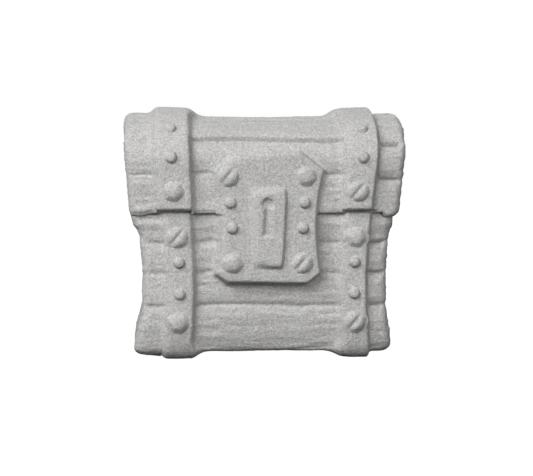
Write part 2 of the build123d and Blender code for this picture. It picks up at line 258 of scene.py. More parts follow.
def band_cover(x, centre, half, flare, worn=0.0):
    """1 on a band, 0 away from it: a logistic flank, softer on the inner side by flare, and
    further in by worn on the right band's outer side."""
    inner = np.abs(x) < centre
    faces_right = (x > 0) != inner
    right_softness = np.where(inner, WORN, CRISP)
    softness = np.where(faces_right, right_softness, SOFT) + FLARE * flare * inner
    inset = np.where(faces_right & inner, WORN_INSET, FLANK_INSET)
    inset = inset - FLARE_REACH * flare * inner + worn * (faces_right & ~inner)
    return rise(-(band_outside(x, centre, half) + inset) / softness)


def tub_band_cover(straight, z):
    """Cover of the tub's bands, whose inner sides flare at the foot."""
    flare = smooth((BASE + FOOT_FLARE - z) / FOOT_FLARE)
    return band_cover(straight, TUB_BAND_CENTRE, TUB_BAND_HALF, flare)


def lid_band_cover(straight, z):
    """Cover of the lid's bands, whose inner sides flare over the crown, the right one worn."""
    flare = smooth((z - CREST + CROWN_FLARE[0]) / CROWN_FLARE[1])
    worn = RIGHT_WORN[0] + RIGHT_WORN[1] * smooth((SHOULDER - z) / (SHOULDER - LIP))
    return band_cover(straight, LID_BAND_CENTRE, LID_BAND_HALF, flare, worn)


def lock_inside(x, z):
    """Distance in from the lock plate's outline: least of its edges' distances, the sides
    being parabolas, with the corners a little rounded."""
    middle = (LOCK_SHOULDER + LOCK_HIP) / 2
    reach = (LOCK_SHOULDER - LOCK_HIP) / 2
    ends = np.where(z > middle, LOCK_SHOULDER_HALF, LOCK_HIP_HALF)
    side = LOCK_WAIST_HALF + (ends - LOCK_WAIST_HALF) * ((z - middle) / reach) ** 2
    ax = np.abs(x)

    def beyond(x0, z0, x1, z1):
        length = math.hypot(x1 - x0, z1 - z0)
        return ((z1 - z0) * (x0 - ax) - (x1 - x0) * (z0 - z)) / length

    upper = beyond(LOCK_SHOULDER_HALF, LOCK_SHOULDER, LOCK_TOP_HALF, LOCK_TOP)
    lower = beyond(LOCK_BOTTOM_HALF, LOCK_BOTTOM, LOCK_HIP_HALF, LOCK_HIP)
    return least([LOCK_TOP - z, z - LOCK_BOTTOM, side - ax, upper, lower], 0.1)


def lock_cover(x, z):
    """1 on the lock plate, 0 off it: softest on the left flank, less so at its lower corner."""
    low_left = smooth((LOCK_HIP + 2 - z) / 3) * (1 + np.tanh(-x / 4))
    softness = 0.28 - 0.13 * np.tanh(x / 4) - 0.09 * low_left
    return rise((lock_inside(x, z) - 2.1 * softness) / softness)


def key_inside(x, z):
    """Distance in from the key plate's outline, which tapers downwards."""
    share = (z - KEY_BOTTOM) / (KEY_TOP - KEY_BOTTOM)
    side = KEY_BOTTOM_HALF + (KEY_TOP_HALF - KEY_BOTTOM_HALF) * share
    return least([KEY_TOP - z, z - KEY_BOTTOM, side - np.abs(x)], 0.6)


def keyhole_inside(x, z):
    """Distance in from the keyhole: the eye's circle, or the slot that widens downwards."""
    eye = KEYHOLE_RADIUS - np.hypot(x, z - KEYHOLE_HEIGHT)
    share = np.clip((KEYHOLE_HEIGHT - z) / (KEYHOLE_HEIGHT - KEYHOLE_FOOT), 0, 1)
    side = KEYHOLE_NECK_HALF + (KEYHOLE_FOOT_HALF - KEYHOLE_NECK_HALF) * share
    slot = least([side - np.abs(x), z - KEYHOLE_FOOT, KEYHOLE_HEIGHT - z], 0.2)
    return -least([-eye, -slot], 0.1)


def tub_planks(p):
    """Relief of the tub's planks: level grooves that waver a little, grain along them, a full
    top edge, and a rim that flares out at the left end."""
    x, y, z = p[..., 0], p[..., 1], p[..., 2]
    straight = x / tub_narrowing(z)
    waver = 0.34 * noise(x / 8, y / 8, 3.3) + 0.16 * noise(x / 2.5, y / 2.5, 8.1)
    gain = end_gain(straight, y, TUB_FLAT, TUB_HALF)
    relief = sum(
        plank(z + waver * (1 + 0.3 * i) - groove, gain) for i, groove in enumerate(TUB_GROOVES))
    end = smooth((np.abs(straight) - TUB_HALF + 2.0) / 1.5)
    grain = (1 - end) * wood(x + np.sign(y) * 40, z, 1.2) + end * wood(y + np.sign(x) * 60, z, 5.2)
    climb = np.clip((z - RIM_FLARE_FROM) / (RIM - RIM_FLARE_FROM), 0, 1)
    rim = RIM_FLARE * climb ** 1.5 * smooth((-straight - TUB_HALF + 1.6) / 1.4)
    swell = RIM_SWELL * bell((z - RIM_SWELL_AT) / 1.5)
    return relief + grain + swell + rim - middle_dip(straight)


def lid_planks(p, along_profile, end):
    """Relief of the lid's planks: a level groove low down, one higher up with a ledge over it,
    and grooves beside the ridge on top."""
    x, y, z = p[..., 0], p[..., 1], p[..., 2]
    waver = 0.32 * noise(x / 8, y / 8, 5.3) + 0.14 * noise(x / 2.5, y / 2.5, 2.1)
    straight = x / lid_narrowing(z)
    outer = LID_BAND_CENTRE + LID_BAND_HALF
    gain = end_gain(straight, y, outer, LID_HALF)
    past = smooth(straight - outer + 1)
    relief = plank(z + waver + 1.5 * past - LID_GROOVES[0], gain)
    above = z + waver + 0.6 * past - LID_GROOVES[1]
    ledge = LEDGE * rise(above / 0.06) * smooth(1 - above / 3.5) * smooth(outer - np.abs(straight))
    relief = relief + (1 - end) * ledge + plank(above + 0.25, (1.3 + 0.6 * past) * gain, 0.4)
    crown = (1 - end) * smooth((z - LID_GROOVES[1] - 1) / 1.5)
    relief = relief + crown * plank(np.abs(y) + waver - CROWN_GROOVE)
    grain = (1 - end) * wood(x, along_profile, 9.2) + end * wood(y + np.sign(x) * 60, z, 13.2)
    return relief + grain - middle_dip(straight)


def tub_relief(p):
    """Whole relief over the tub, with its bands and the lock plate."""
    x, y, z = p[..., 0], p[..., 1], p[..., 2]
    band = tub_band_cover(x / tub_narrowing(z), z)
    lock = lock_cover(x, z) * (y < -TUB_DEPTH / 2)
    relief = tub_planks(p) * (1 - band) + TUB_BAND * band
    return relief * (1 - lock) + (LOCK_FACE - TUB_DEPTH) * lock


def lid_relief(p, along_profile, end):
    """Whole relief over the lid, with its bands and the lock plate."""
    x, y, z = p[..., 0], p[..., 1], p[..., 2]
    band = lid_band_cover(x / lid_narrowing(z), z)
    lock = lock_cover(x, z) * (y < -LID_DEPTH / 2)
    relief = lid_planks(p, along_profile, end) * (1 - band) + LID_BAND * band
    return relief * (1 - lock) + (LOCK_FACE - LID_DEPTH) * lock


def drop_under(relief, covered):
    """Relief that drops out of sight where another piece covers it, by distance inside that."""
    return relief - (relief + TUCK_UNDER) * smooth((covered - 0.1) / 0.7)


# ---------------------------------------------------------------- surfaces

def normals_of(p, centre):
    """Unit normals of a grid whose columns close on themselves, pointing away from centre."""
    down = np.gradient(p, axis=0)
    about = np.roll(p, -1, axis=1) - np.roll(p, 1, axis=1)
    n = np.cross(about, down)
    n = n / np.maximum(np.linalg.norm(n, axis=2, keepdims=True), 1e-9)
    n[0], n[-1] = n[1].mean(0), n[-2].mean(0)
    n = n / np.maximum(np.linalg.norm(n, axis=2, keepdims=True), 1e-9)
    outward = np.sum(n * (p - np.array(centre)), axis=2)
    return n if outward.sum() > 0 else -n


def ball_faces(rows, columns):
    """Faces of a grid that closes on itself along its rows: squares between the rings, and a
    fan of triangles at the pole at each end."""
    ring = 1 + np.arange(rows - 3)[:, None] * columns
    here = np.arange(columns)
    on = (here + 1) % columns
    quads = np.stack([ring + here, ring + on, ring + columns + on, ring + columns + here], -1)
    last = 1 + (rows - 3) * columns
    top = np.stack([here * 0, 1 + on, 1 + here], -1)
    bottom = np.stack([here * 0 + last + columns, last + here, last + on], -1)
    return quads.reshape(-1, 4), np.concatenate([top, bottom])


def signed_volume(points, quads, triangles):
    """Volume inside the faces, negative when they point inwards."""
    faces = np.concatenate([quads[:, :3], quads[:, [0, 2, 3]], triangles])
    a, b, c = (points[faces[:, n]] for n in range(3))
    return np.sum(a * np.cross(b, c)) / 6


def piece(name, grids, material, replaced):
    """One piece from grids of points in millimetres, each closed between two poles."""
    points, quads, triangles, first = [], [], [], 0
    for grid in grids:
        own = np.concatenate([grid[:1, 0], grid[1:-1].reshape(-1, 3), grid[-1:, 0]])
        q, t = ball_faces(*grid.shape[:2])
        if signed_volume(own - own.mean(0), q, t) < 0:
            q, t = q[:, ::-1], t[:, ::-1]
        points.append(own)
        quads.append(q + first)
        triangles.append(t + first)
        first += len(own)
    points = np.concatenate(points) + np.array([0, MIDDLE_Y, 0])
    quads, triangles = np.concatenate(quads), np.concatenate(triangles)
    corners = np.concatenate([quads.ravel(), triangles.ravel()])
    mesh = bpy.data.meshes.new(name)
    mesh.vertices.add(len(points))
    mesh.vertices.foreach_set("co", (points * MM).astype(np.float32).ravel())
    mesh.loops.add(len(corners))
    mesh.loops.foreach_set("vertex_index", corners.astype(np.int32))
    sizes = np.concatenate([np.full(len(quads), 4), np.full(len(triangles), 3)])
    mesh.polygons.add(len(sizes))
    mesh.polygons.foreach_set("loop_start", (np.cumsum(sizes) - sizes).astype(np.int32))
    mesh.update(calc_edges=True)
    mesh.validate()
    mesh.shade_smooth()
    mesh.set_sharp_from_angle(angle=math.radians(60))
    mesh.materials.append(material)
    made = bpy.data.objects.new(name, mesh)
    bpy.context.scene.collection.objects.link(made)
    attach(made, "root")
    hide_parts(*replaced)


def evenly(points, count, closed):
    """Points spaced evenly along a line of straight runs, by its length."""
    line = np.array(points, float)
    if closed:
        line = np.concatenate([line, line[:1]])
    run = np.concatenate([[0], np.cumsum(np.linalg.norm(np.diff(line, axis=0), axis=1))])
    at = np.linspace(0, run[-1], count, endpoint=not closed)
    return np.stack([np.interp(at, run, line[:, axis]) for axis in range(line.shape[1])], -1)


def arc(cx, cy, rx, ry, start, end, steps):
    """Points on an ellipse about (cx, cy), from one angle to another in degrees."""
    angle = np.radians(np.linspace(start, end, steps))
    return np.stack([cx + rx * np.cos(angle), cy + ry * np.sin(angle)], -1)


def rounded(corners, radii, steps=12):
    """Closed outline with each corner turned into an arc tangent to its two sides."""
    corners = np.array(corners, float)
    line = []
    for i, radius in enumerate(radii):
        here = corners[i]
        back = corners[i - 1] - here
        on = corners[(i + 1) % len(corners)] - here
        back, on = back / np.linalg.norm(back), on / np.linalg.norm(on)
        half = math.acos(float(np.clip(back @ on, -1, 1))) / 2
        reach = radius / math.tan(half)
        share = np.linspace(0, 1, steps)[:, None]
        first, last = here + back * reach, here + on * reach
        centre = here + (back + on) / np.linalg.norm(back + on) * radius / math.sin(half)
        line.append(centre + turned(first - centre, last - centre, share))
    return np.concatenate(line)


def turned(start, end, share):
    """Points turning from one radius vector to another of the same length."""
    angle = math.acos(float(np.clip(start @ end / (start @ start), -1, 1)))
    if angle < 1e-6:
        return start + (end - start) * share
    return (np.sin((1 - share) * angle) * start + np.sin(share * angle) * end) / math.sin(angle)


def tub_outline():
    """Plan of the tub: flat front and back, ends that stand back a little, rounded corners."""
    fall = (TUB_HALF - TUB_FLAT) * math.tan(math.radians(END_FALL))
    side = TUB_DEPTH - fall
    corners = [
        (-TUB_HALF, -side), (-TUB_FLAT, -TUB_DEPTH), (TUB_FLAT, -TUB_DEPTH), (TUB_HALF, -side),
        (TUB_HALF, side), (TUB_FLAT, TUB_DEPTH), (-TUB_FLAT, TUB_DEPTH), (-TUB_HALF, side),
    ]
    end, flat = TUB_CORNERS
    return evenly(rounded(corners, [end, flat, flat, end] * 2), 640, closed=True)


def floor_inset(heights, edge):
    """How far the floor's rounded edge draws in at each height: a quarter of a circle."""
    below = np.maximum(edge - (heights - BASE), 0)
    return edge - np.sqrt(np.maximum(edge ** 2 - below ** 2, 0))


def tub_surface():
    """The tub: its plan outline carried up from a pole under the floor to a pole at the rim,
    narrowed to the waist and tucked in at the foot, then moved out along its normals by the
    relief."""
    outline = tub_outline()
    around = outline[None, :, 0]
    past = np.abs(around) - TUB_FLAT
    top = LIP - 0.05
    turn = np.radians(np.linspace(0, 90, 18))[1:]
    low = BASE + TUB_EDGE[0] * (1 - np.cos(turn))
    floor_rings, top_rings = 12, 6
    heights = np.concatenate([
        np.full(floor_rings, BASE), low, np.linspace(low[-1], top, 92)[1:], np.full(top_rings, top),
    ])
    tuck = TUCK_IN * np.maximum((TUCK_HEIGHT - heights) / (TUCK_HEIGHT - BASE), 0) ** 2
    shrink = np.ones_like(heights)
    shrink[:floor_rings] = np.linspace(0, 1, floor_rings)
    shrink[-top_rings:] = np.linspace(1, 0, top_rings)
    width = tub_narrowing(heights) * TUB_HALF - floor_inset(heights, TUB_EDGE[0])
    depth = TUB_DEPTH - floor_inset(heights, TUB_EDGE[1]) - tuck
    up, shrunk = heights[:, None], shrink[:, None]
    foot = left_right(around, TUB_FOOT_MOVE) * smooth((12 - up) / 8)
    move = (foot + left_right(around, TUB_END_MOVE)) * shrunk * smooth((past - 0.2) / 3)
    low_left = LEFT_LOW * (around < 0) * smooth((past - 0.1) / 3.5) * smooth((7 - up) / 5)
    droop = left_right(around, LIP_DROOP) * smooth((past - 1.2) / 3)
    p = np.stack([
        (width / TUB_HALF)[:, None] * shrunk * around + move,
        (depth / TUB_DEPTH)[:, None] * shrunk * outline[None, :, 1],
        up - low_left - droop * smooth((up - RIM + 4) / 4),
    ], -1)
    n = normals_of(p, (0, 0, (BASE + RIM) / 2))
    relief = tub_relief(p) + grit(p)
    x, y, z = p[..., 0], p[..., 1], p[..., 2]
    relief = drop_under(relief, -band_outside(x / tub_narrowing(z), TUB_BAND_CENTRE, TUB_BAND_HALF))
    relief = drop_under(relief, np.where(y < -TUB_DEPTH / 2, lock_inside(x, z), -9))
    return p + n * (relief * np.sqrt(shrunk))[..., None]


def vault():
    """The lid's vault from front to back: half an ellipse."""
    return arc(0, SPRING, LID_DEPTH, CREST - SPRING, 180, 0, 90)


def crown_lift(x, z):
    """How far the lid and its bands rise or dip with the ridge: a parabola along the lid,
    eased in from the lip to the crest."""
    out = (x / LID_HALF) ** 2
    return (CROWN_RISE * out - CROWN_SAG * (1 - out)) * smooth((z - LIP) / (CREST - LIP))


def lid_profile():
    """Closed side outline of the lid: up the front, over the vault, down the back and along
    the underside, the lip's edges rounded."""
    reach, level = LID_DEPTH - LIP_ROUND, LIP + LIP_ROUND
    front = arc(-reach, level, LIP_ROUND, LIP_ROUND, 270, 180, 8)
    back = arc(reach, level, LIP_ROUND, LIP_ROUND, 0, -90, 8)
    upper = evenly(np.concatenate([front, vault(), back]), 370, closed=False)
    under = np.linspace(upper[-1], upper[0], 22)[1:-1]
    return np.concatenate([upper, under])


def lid_surface():
    """The lid: its closed side outline carried from one end to the other, drawn in round the
    ends and closed at a pole in the middle of each end face, then moved out by the relief."""
    profile = lid_profile()
    y, z = profile[:, 0], profile[:, 1]
    steps = np.linalg.norm(np.diff(profile, axis=0), axis=1)
    along = np.concatenate([[0], np.cumsum(steps)])
    turn = np.radians(np.linspace(0, 90, 14))
    half = np.linspace(0, LID_HALF - LID_EDGE, 80)[:-1]
    bend = LID_HALF - LID_EDGE + LID_EDGE * np.sin(turn)
    face = np.linspace(1, 0, 30)[1:]
    station = np.concatenate([half, bend, face * 0 + LID_HALF])
    inset = np.concatenate([half * 0, LID_EDGE * (1 - np.cos(turn)), face * 0 + LID_EDGE])
    shrink = np.concatenate([half * 0 + 1, turn * 0 + 1, face])
    fall = np.maximum(station - LID_FLAT, 0) * math.tan(math.radians(END_FALL))
    side = np.concatenate([-station[:0:-1], station])
    inset, shrink, fall = (np.concatenate([v[:0:-1], v]) for v in (inset, shrink, fall))
    end = smooth((np.abs(side) - LID_HALF + LID_EDGE) / LID_EDGE)
    pole_height = (LIP + CREST) / 2 - 2
    depth_scale = (LID_DEPTH - inset - fall) / LID_DEPTH
    height_scale = (CREST - LIP - inset) / (CREST - LIP)
    py = y[None, :] * depth_scale[:, None] * shrink[:, None]
    pz = LIP + (z[None, :] - LIP) * height_scale[:, None]
    pz = pole_height + (pz - pole_height) * shrink[:, None]
    lean = LID_END_LEAN * np.clip((LEAN_TOP - pz) / (LEAN_TOP - LIP), 0, 1)
    turn_in, turn_height = LIP_TURN
    low = np.clip((LIP + turn_height - pz) / turn_height, 0, 1)
    lip_turn = turn_in * (1 - np.sqrt(1 - low ** 2))
    past = np.abs(side) - LID_FLAT
    beyond = left_right(side, END_SHARE) * smooth((past - 0.2) / 4)
    px = side[:, None] * lid_narrowing(pz) - beyond[:, None] * (lean + lip_turn)
    droop = left_right(side, LIP_DROOP) * smooth((past - 0.7) / 3)
    low_lip = droop[:, None] * smooth(1 - (pz - LIP) / 6)
    pz = pz + crown_lift(side[:, None], pz) - low_lip
    p = np.stack([px, py, pz], -1)
    n = normals_of(p, (0, 0, (LIP + CREST) / 2))
    x, y, z = p[..., 0], p[..., 1], p[..., 2]
    relief = lid_relief(p, along[None, :], end[:, None]) + grit(p)
    relief = drop_under(relief, -band_outside(x / lid_narrowing(z), LID_BAND_CENTRE, LID_BAND_HALF))
    relief = drop_under(relief, np.where(y < -LID_DEPTH / 2, lock_inside(x, z), -9))
    upper = smooth((z + droop[:, None] - LIP) / 0.4)
    return p + n * (relief * upper)[..., None]


def path_normals(path):
    """Unit normals of a side-view path in Y and Z, to the left of its direction."""
    tangent = np.gradient(path, axis=0)
    tangent = tangent / np.linalg.norm(tangent, axis=1, keepdims=True)
    return np.stack([-tangent[:, 1], tangent[:, 0]], -1)


def band_surface(path, outward, side, centre, half, thick, narrowing, cover_at, planks, root):
    """A band: a cross-section carried along the side view of its body. The section's top
    follows the shared relief from edge to edge, and its sides and bottom lie in the body, root
    under its face. Both ends are rounded off and closed at a pole."""
    across = side * centre + (half + BAND_REACH) * np.sin(np.linspace(-np.pi / 2, np.pi / 2, 60))
    x = across * narrowing(path[:, 1])[:, None]
    y, z = (np.repeat(path[:, axis, None], len(across), 1) for axis in range(2))
    base = np.stack([x, y, z], -1)
    cover = cover_at(across, z)
    height = planks(base) * (1 - cover) + thick * cover + grit(base)
    count = np.arange(len(path))
    from_end = np.minimum(count, count[::-1]) * np.linalg.norm(path[1] - path[0])
    round_off = np.sqrt(np.clip(1 - (1 - np.clip(from_end / 0.8, 0, 1)) ** 2, 0, 1))[:, None]
    height = height * round_off - 0.5 * (1 - round_off)
    normal = path_normals(path) * outward
    out = np.stack([x * 0, normal[:, None, 0] + x * 0, normal[:, None, 1] + x * 0], -1)
    top = base + out * height[..., None]
    deep = base - out * root
    loop = np.concatenate([top, deep[:, ::-4]], 1)
    pole_a, pole_b = loop[0].mean(0), loop[-1].mean(0)
    columns = loop.shape[1]
    return np.concatenate([
        np.repeat(pole_a[None, None], columns, 1), loop, np.repeat(pole_b[None, None], columns, 1),
    ])


def lid_band_path():
    """Front lip, over the vault, to the back lip, evenly spaced."""
    foot = LIP + BAND_SEAM
    line = np.concatenate([[(-LID_DEPTH, foot)], vault(), [(LID_DEPTH, foot)]])
    return evenly(line, 240, closed=False)


def eased(path, width=9):
    """Path with its bends smoothed by a running mean, its two ends kept."""
    padded = np.concatenate([
        2 * path[0] - path[width:0:-1], path, 2 * path[-1] - path[-2:-width - 2:-1]])
    kernel = np.hanning(2 * width + 3)[1:-1]
    kernel = kernel / kernel.sum()
    return np.stack([np.convolve(padded[:, axis], kernel, "valid") for axis in range(2)], -1)


def tub_band_path():
    """Front rim, down, round under the tub and up to the back rim, evenly spaced."""
    bend_radius = TUB_EDGE[1]
    z = np.linspace(TUCK_HEIGHT, BASE + bend_radius, 12)
    y = TUB_DEPTH - TUCK_IN * ((TUCK_HEIGHT - z) / (TUCK_HEIGHT - BASE)) ** 2
    bend = arc(-y[-1] + bend_radius, BASE + bend_radius, bend_radius, bend_radius, 180, 270, 10)
    top = [(-TUB_DEPTH, LIP + BAND_SEAM)]
    front = np.concatenate([top, np.stack([-y, z], -1)[:-1], bend])
    line = np.concatenate([front, front[::-1] * np.array([-1, 1])])
    return eased(evenly(line, 300, closed=False))


def lid_band(side):
    """One lid band, its planks' relief showing through at its edges."""
    path = lid_band_path()
    steps = np.linalg.norm(np.diff(path, axis=0), axis=1)
    along = np.concatenate([[0], np.cumsum(steps)]) + GRAIN_START

    def planks(p):
        return lid_planks(p, along[:, None], 0)

    grid = band_surface(
        path, 1, side, LID_BAND_CENTRE, LID_BAND_HALF, LID_BAND, lid_narrowing, lid_band_cover,
        planks, root=1.2)
    grid[..., 2] += crown_lift(grid[..., 0], grid[..., 2])
    return grid


def tub_band(side):
    """One tub band, down to the foot under the tub."""
    return band_surface(
        tub_band_path(), -1, side, TUB_BAND_CENTRE, TUB_BAND_HALF, TUB_BAND, tub_narrowing,
        tub_band_cover, tub_planks, root=1.0)


def plate_surface(inside, face, middle, margin, back, columns, rows):
    """A plate on the front: rays from its middle out to margin past its outline, found by
    halving, with the height of its face worked out at every point, closed behind."""
    angle = np.linspace(0, 2 * np.pi, columns, endpoint=False)
    cos, sin = np.cos(angle), np.sin(angle)
    near, far = np.zeros(columns), np.full(columns, TUB_HALF)
    for _ in range(40):
        half = (near + far) / 2
        within = inside(half * cos, middle + half * sin) > -margin
        near, far = np.where(within, half, near), np.where(within, far, half)
    share = 1 - (1 - np.linspace(0, 1, rows)) ** 1.6
    x = share[:, None] * (near * cos)[None, :]
    z = middle + share[:, None] * (near * sin)[None, :]
    front = np.stack([x, -face(x, z), z], -1)
    behind = front[[-1, -rows // 2, 0]].copy()
    behind[..., 1] = -back
    return np.concatenate([front, behind])


def body_face(x, z):
    """How far the front of the lid or the tub stands ahead of the middle, with its relief."""
    p_lid = np.stack([x, x * 0 - LID_DEPTH, z], -1)
    p_tub = np.stack([x, x * 0 - TUB_DEPTH, z], -1)
    upper = smooth((z - RIM + 0.2) / 0.6)
    lid = LID_DEPTH + lid_planks(p_lid, z - LIP + GRAIN_START, 0)
    tub = TUB_DEPTH + tub_planks(p_tub)
    return lid * upper + tub * (1 - upper)


def lock_face(x, z):
    """Face of the lock plate, sinking into the lid and the tub round its edge."""
    cover = lock_cover(x, z)
    face = LOCK_FACE + grit(np.stack([x, x * 0, z], -1))
    return body_face(x, z) * (1 - cover) + face * cover


def key_face(x, z):
    """Face of the key plate, with the keyhole sunk in it."""
    softness = 0.28 - 0.14 * np.tanh(x / 2) + 0.10 * smooth((z - KEY_TOP + 3) / 2)
    cover = rise((key_inside(x, z) - 2.1 * softness) / softness)
    hole = rise((keyhole_inside(x, z) - 0.05) / 0.16)
    face = LOCK_FACE + KEY_PROUD * cover - 0.15 * (1 - cover)
    return face - KEYHOLE_DEPTH * hole + grit(np.stack([x, x * 0 + 3, z], -1))


def head_heights(kind, r, angle, radius, height):
    """Height of a head over its seat: a dome, a flat with six sides, or a slotted button, each
    with a soft foot that sinks below the seat."""
    if kind == "rivet":
        share = np.clip(r / radius, 0, 1)
        body = height * np.sqrt(np.clip(1 - share ** 2, 0, 1)) ** 0.9
        edge = rise((radius - 0.08 - r) / 0.14)
    elif kind == "hex":
        sixth = (angle + math.radians(HEX_ANGLE)) % (math.pi / 3) - math.pi / 6
        flat = r * (0.55 * np.cos(sixth) / math.cos(math.pi / 6) + 0.45)
        body = height * (1 - 0.10 * (flat / radius) ** 2)
        edge = rise((radius * 0.88 - flat) / 0.38)
    else:
        body = height * (1 - 0.28 * (r / radius) ** 2)
        edge = rise((radius * 0.93 - r) / 0.32)
        across = r * np.sin(angle - math.radians(SLOT_ANGLE))
        body = body - 0.42 * bell((across - 0.15) / 0.56) * smooth((radius - r) / 0.2 + 0.6)
    return body * edge - FOOT_SINK * (1 - edge)


def head_surface(kind, centre, normal, across, seed):
    """One fastener head: heights on rings about its middle, closed below its seat."""
    radius, height = RIVET if kind == "rivet" else HEAD
    foot = radius * HEAD_FOOT
    rings = np.concatenate([np.linspace(0, foot, 26), [foot, 0]])
    r, a = np.meshgrid(rings, np.linspace(0, 2 * np.pi, 64, endpoint=False), indexing="ij")
    h = head_heights(kind, r, a, radius, height)
    h[-2:] = -HEAD_ROOT
    normal = np.array(normal) / np.linalg.norm(normal)
    across = np.array(across, float)
    up = np.cross(normal, across)
    level, upright = (r * np.cos(a))[..., None], (r * np.sin(a))[..., None]
    p = np.array(centre) + level * across + upright * up + h[..., None] * normal
    p[:-2] = p[:-2] + (grit(p[:-2] + seed) * 0.7)[..., None] * normal
    p[0] = p[0].mean(0)
    return p


def lid_seat(side, height, face, inward=0.0):
    """Middle, normal and level direction of a head on a lid band: a point of the vault's
    ellipse moved out by the band's thickness, chosen by its height."""
    t = np.radians(np.linspace(0, 80, 400))
    out_y, out_z = (CREST - SPRING) * np.cos(t), LID_DEPTH * np.sin(t)
    length = np.hypot(out_y, out_z)
    out_y, out_z = out_y / length, out_z / length
    z = SPRING + (CREST - SPRING) * np.sin(t) + LID_BAND * out_z
    y = LID_DEPTH * np.cos(t) + LID_BAND * out_y
    y, out_y, out_z = (float(np.interp(height, z, v)) for v in (y, out_y, out_z))
    x = side * (LID_BAND_CENTRE - inward) * lid_narrowing(height)
    return (x, face * y, height + crown_lift(x, height)), (0, face * out_y, out_z), (-face, 0, 0)


def tub_seat(side, height, face):
    """Middle, normal and level direction of a head on a tub band."""
    x = side * TUB_BAND_CENTRE * tub_narrowing(height)
    low = max(0.0, TUCK_HEIGHT - height)
    fall = TUCK_IN * (low / (TUCK_HEIGHT - BASE)) ** 2
    slope = 2 * fall / max(low, 1.0)
    return (x, face * (TUB_DEPTH + TUB_BAND - fall), height), (0, face, -slope), (-face, 0, 0)


def lock_seat(side, place):
    """Middle, normal and level direction of a head on the lock plate."""
    x, z = place
    return (side * x, -LOCK_FACE, z), (0, -1, 0), (1, 0, 0)


def heads(kind, seats):
    """Heads of one kind on a list of seats."""
    return [head_surface(kind, *seat, seed=7.0 * i) for i, seat in enumerate(seats)]


# ---------------------------------------------------------------- materials

class Value:
    """A socket with arithmetic: each operator adds a Math node."""

    def __init__(self, made, socket):
        self.made, self.socket = made, socket

    def _math(self, operation, a, b):
        return self.made.node("ShaderNodeMath", {"operation": operation}, {0: a, 1: b})

    def __add__(self, other):
        return self._math("ADD", self, other)

    def __radd__(self, other):
        return self._math("ADD", other, self)

    def __sub__(self, other):
        return self._math("SUBTRACT", self, other)

    def __rsub__(self, other):
        return self._math("SUBTRACT", other, self)

    def __mul__(self, other):
        return self._math("MULTIPLY", self, other)

    def __rmul__(self, other):
        return self._math("MULTIPLY", other, self)

    def above(self, edge, width):
        """0 below edge, 1 above edge + width, eased between."""
        return self.made.node(
            "ShaderNodeMapRange", {"interpolation_type": "SMOOTHSTEP"},
            {"Value": self, "From Min": edge, "From Max": edge + width})


class Finish:
    """A material under construction."""

    def __init__(self, name):
        self.material = bpy.data.materials.new(name)
        self.material.use_nodes = True
        self.tree = self.material.node_tree
        self.shader = self.tree.nodes["Principled BSDF"]
        self.place = self.node("ShaderNodeTexCoord", {}, {}, "Object")

    def node(self, kind, settings, inputs, output=0):
        """A new node with its settings and the values or links of its sockets."""
        made = self.tree.nodes.new(kind)
        for key, value in settings.items():
            setattr(made, key, value)
        for key, value in inputs.items():
            self.join(value, made.inputs[key])
        return Value(self, made.outputs[output])

    def join(self, value, socket):
        """Link a value to a socket, or set the socket to a constant."""
        if isinstance(value, Value):
            self.tree.links.new(value.socket, socket)
        else:
            socket.default_value = value

    def set(self, **inputs):
        """Sockets of the shader, by name with underscores for spaces."""
        for key, value in inputs.items():
            self.join(value, self.shader.inputs[key.replace("_", " ")])

    def mix(self, share, a, b):
        """Colour between a and b."""
        return self.node("ShaderNodeMix", {"data_type": "RGBA"}, {0: share, 6: a, 7: b}, 2)

    def speckle(self, size, detail=2.0):
        """Soft noise with lumps of this size in millimetres."""
        return self.node(
            "ShaderNodeTexNoise", {"noise_dimensions": "3D"},
            {"Vector": self.place, "Scale": 1 / (size * MM), "Detail": detail, "Roughness": 0.6})

    def grains(self, size, output="Distance"):
        """Round grains of this size in millimetres."""
        return self.node(
            "ShaderNodeTexVoronoi", {"feature": "F1"},
            {"Vector": self.place, "Scale": 1 / (size * MM), "Randomness": 1.0}, output)


def tone(value):
    """A near-neutral, faintly warm colour of this brightness."""
    return (value, value * 0.99, value * 0.972, 1.0)


def sintered_grit():
    """Sintered mineral grit: packed grains, each a slightly different grey, with pores between
    them and slow changes of tone."""
    f = Finish("sintered_grit")
    grain = f.grains(0.26)
    shade = f.node("ShaderNodeSeparateColor", {}, {0: f.grains(0.26, "Color")})
    cloud = f.speckle(0.5)
    slow = f.speckle(14.0)
    level = 0.5 + (shade - 0.5) * 0.95 + (cloud - 0.5) * 0.8 + (slow - 0.5) * 0.25
    colour = f.mix(level, tone(0.32), tone(0.52))
    bright = f.speckle(0.42, 0.0).above(0.74, 0.06)
    colour = f.mix(bright * 0.5, colour, tone(0.72))
    height = (1 - grain) * 0.7 + cloud * 0.6
    bump = f.node("ShaderNodeBump", {}, {"Height": height, "Strength": 0.9, "Distance": 0.13 * MM})
    f.set(Base_Color=colour, Roughness=0.94 - shade * 0.08, Normal=bump, Specular_IOR_Level=0.25)
    return f.material


def nipple_plastic():
    """Moulded pale plastic: faintly cloudy, with fine moulding marks."""
    f = Finish("nipple_plastic")
    cloud = f.speckle(2.5, 3.0)
    marks = f.speckle(0.35)
    bump = f.node("ShaderNodeBump", {}, {"Height": marks, "Strength": 0.12, "Distance": 0.05 * MM})
    f.set(Base_Color=f.mix(cloud, (0.62, 0.65, 0.66, 1), (0.76, 0.78, 0.78, 1)),
          Roughness=0.34 + marks * 0.14, Normal=bump)
    return f.material


